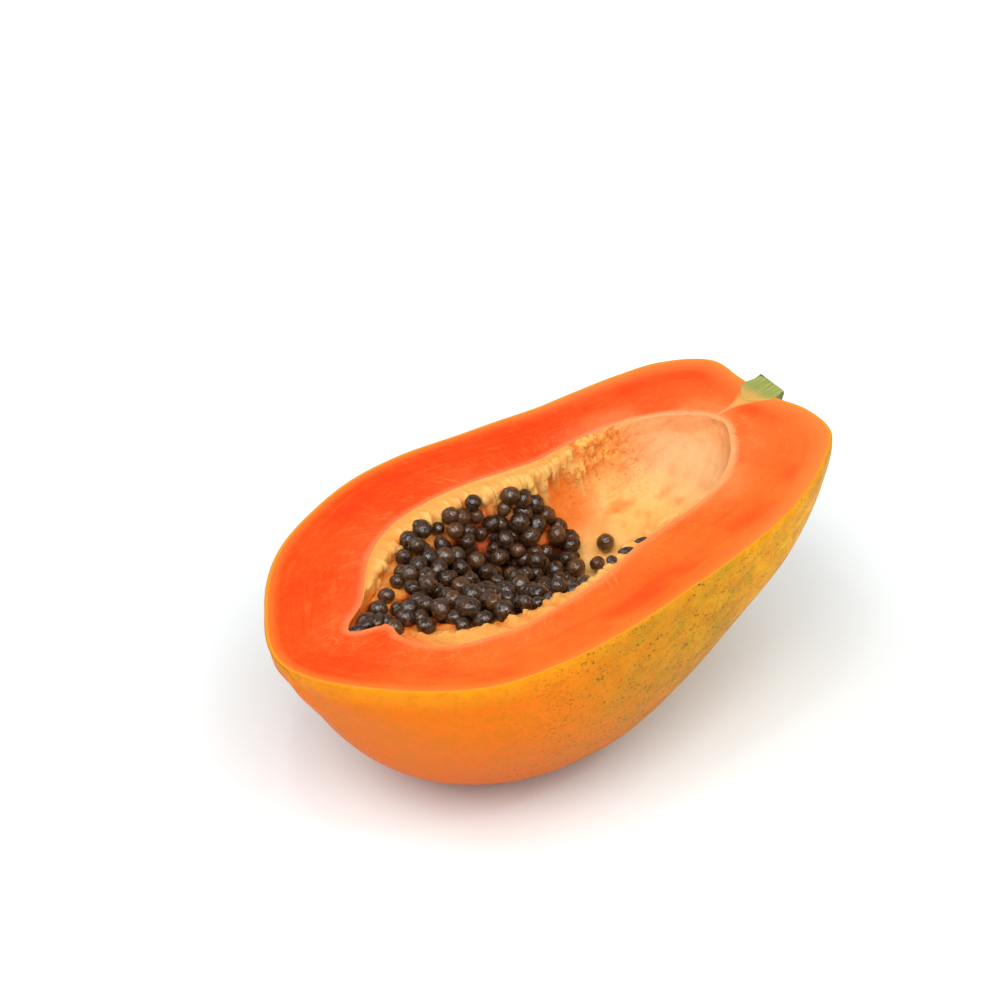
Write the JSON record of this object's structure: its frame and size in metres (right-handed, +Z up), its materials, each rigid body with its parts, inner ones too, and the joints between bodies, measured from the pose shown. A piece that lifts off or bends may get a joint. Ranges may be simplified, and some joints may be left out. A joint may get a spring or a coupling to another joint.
{
  "type": "halved papaya",
  "caption": "Ripe papaya cut lengthwise in half, resting skin side down with its open seed cavity, a pile of dark seeds and a split stem stub on show.",
  "frame": {"origin": "centre of the overall box in X and Y, on the surface that the half rests on", "axes": "+X from the blossom end to the stem, +Y to the side of the cut face that lies lower, +Z up, with the cut face up and leaning as the half rests"},
  "size_m": [0.205, 0.131, 0.0867],
  "materials": {
    "flesh": "red-orange flesh on the cut, thin amber skin outside",
    "seed": "glossy wrinkled dark brown",
    "stem": "pale green cut face, darker green outside"
  },
  "bodies": {
    "root": {"papaya_half": "flesh", "seeds": "seed", "loose_seed_1": "seed", "loose_seed_2": "seed", "rim_seed_1": "seed", "rim_seed_2": "seed", "rim_seed_3": "seed", "stem": "stem"}
  },
  "joints": []
}
